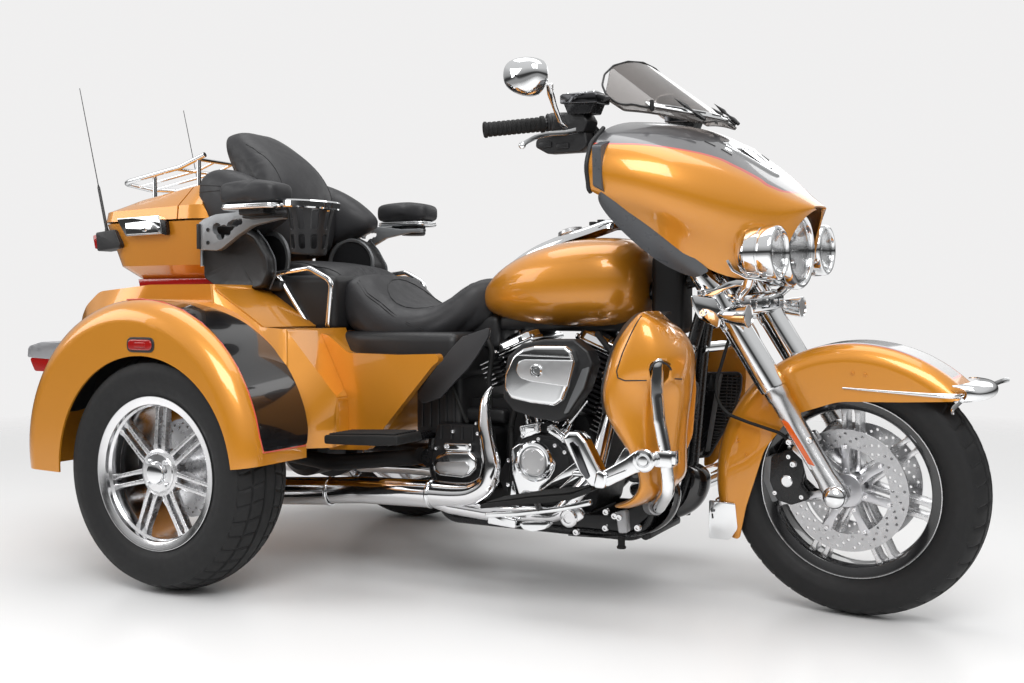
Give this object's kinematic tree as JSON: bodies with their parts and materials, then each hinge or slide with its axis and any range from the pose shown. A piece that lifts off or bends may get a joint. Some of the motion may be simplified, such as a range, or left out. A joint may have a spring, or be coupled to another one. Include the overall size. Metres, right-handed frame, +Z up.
{
  "type": "full-dress touring motor trike",
  "caption": "Full-dress touring motor trike with a steered front wheel, fork-mounted fairing, V-twin engine, wide rear fenders, luggage boot and a hinged touring case.",
  "frame": {"origin": "centre of the bounding box on the floor", "axes": "+X ahead, +Y to the rider's left, +Z up"},
  "size_m": [2.757, 1.418, 1.4765],
  "materials": {
    "amber_paint": "gloss clear coat over amber metallic",
    "black_steel": "gloss black",
    "black_cast": "satin black castings",
    "chrome": "bright chrome",
    "cast_alloy": "machined and polished",
    "tyre": "matt rubber",
    "board_rubber": "ribbed rubber",
    "seat_vinyl": "smooth black touring vinyl",
    "black_plastic": "satin black",
    "grey_plastic": "dark grey gloss",
    "smoked_screen": "smoked polycarbonate",
    "red_lens": "clear red lens"
  },
  "bodies": {
    "chassis": {"frame": "black_steel", "rear_axle": "black_steel", "shock_absorbers": "black_steel", "engine_cases": "black_cast", "cylinders": "black_cast", "rocker_covers": "chrome", "pushrod_tubes": "chrome", "drive_covers": "chrome", "air_cleaner": "chrome", "exhaust": "chrome", "fuel_tank": "amber_paint", "tank_console": "chrome", "rider_saddle": "seat_vinyl", "passenger_seat": "seat_vinyl", "backrest": "seat_vinyl", "trunk_body": "amber_paint", "rear_fenders": "amber_paint", "side_covers": "amber_paint", "rear_lamps": "red_lens", "footboards": "board_rubber", "top_box_tub": "amber_paint", "speaker_pods": "black_plastic", "armrests": "black_plastic", "grab_rails": "chrome", "lower_fairings": "amber_paint", "radiators": "black_plastic", "engine_guard": "chrome", "chin_cover": "black_plastic", "foot_controls": "chrome"},
    "steering": {"front_fork": "chrome", "brake_calipers": "black_cast", "front_fender": "amber_paint", "fork_fairing": "amber_paint", "inner_fairing": "grey_plastic", "windshield": "smoked_screen", "screen_trim": "chrome", "headlamp": "chrome", "lamp_bar": "chrome", "handlebar": "black_steel", "mirrors": "chrome"},
    "front_wheel": {"front_rim": "cast_alloy", "front_tyre": "tyre"},
    "rear_wheel_right": {"rear_rim_right": "cast_alloy", "rear_tyre_right": "tyre"},
    "rear_wheel_left": {"rear_rim_left": "cast_alloy", "rear_tyre_left": "tyre"},
    "top_box_lid": {"top_box_lid": "amber_paint", "lid_rack": "chrome"},
    "trunk_door": {"trunk_door": "amber_paint"}
  },
  "joints": [
    {"name": "steering", "type": "hinge", "parent": "chassis", "child": "steering", "pos_m": [1.1595, 0, 0], "axis": [-0.4384, 0, 0.8988], "range_deg": [-28.8, 43.2]},
    {"name": "front_wheel_spin", "type": "hinge", "parent": "steering", "child": "front_wheel", "pos_m": [1.06014, -0.00643, 0.31982], "axis": [0.1126, 0.9921, 0.0549], "continuous": true},
    {"name": "rear_wheel_right_spin", "type": "hinge", "parent": "chassis", "child": "rear_wheel_right", "pos_m": [-0.6095, -0.59, 0.3215], "axis": [0, 1, 0], "continuous": true},
    {"name": "rear_wheel_left_spin", "type": "hinge", "parent": "chassis", "child": "rear_wheel_left", "pos_m": [-0.6095, 0.59, 0.3215], "axis": [0, 1, 0], "continuous": true},
    {"name": "top_box_lid_hinge", "type": "hinge", "parent": "chassis", "child": "top_box_lid", "pos_m": [-1.0595, 0.286, 1.025], "axis": [-1, 0, 0], "range_deg": [0, 75]},
    {"name": "trunk_door_hinge", "type": "hinge", "parent": "chassis", "child": "trunk_door", "pos_m": [-1.1335, 0, 0.719], "axis": [0, 1, 0], "range_deg": [0, 70]}
  ]
}
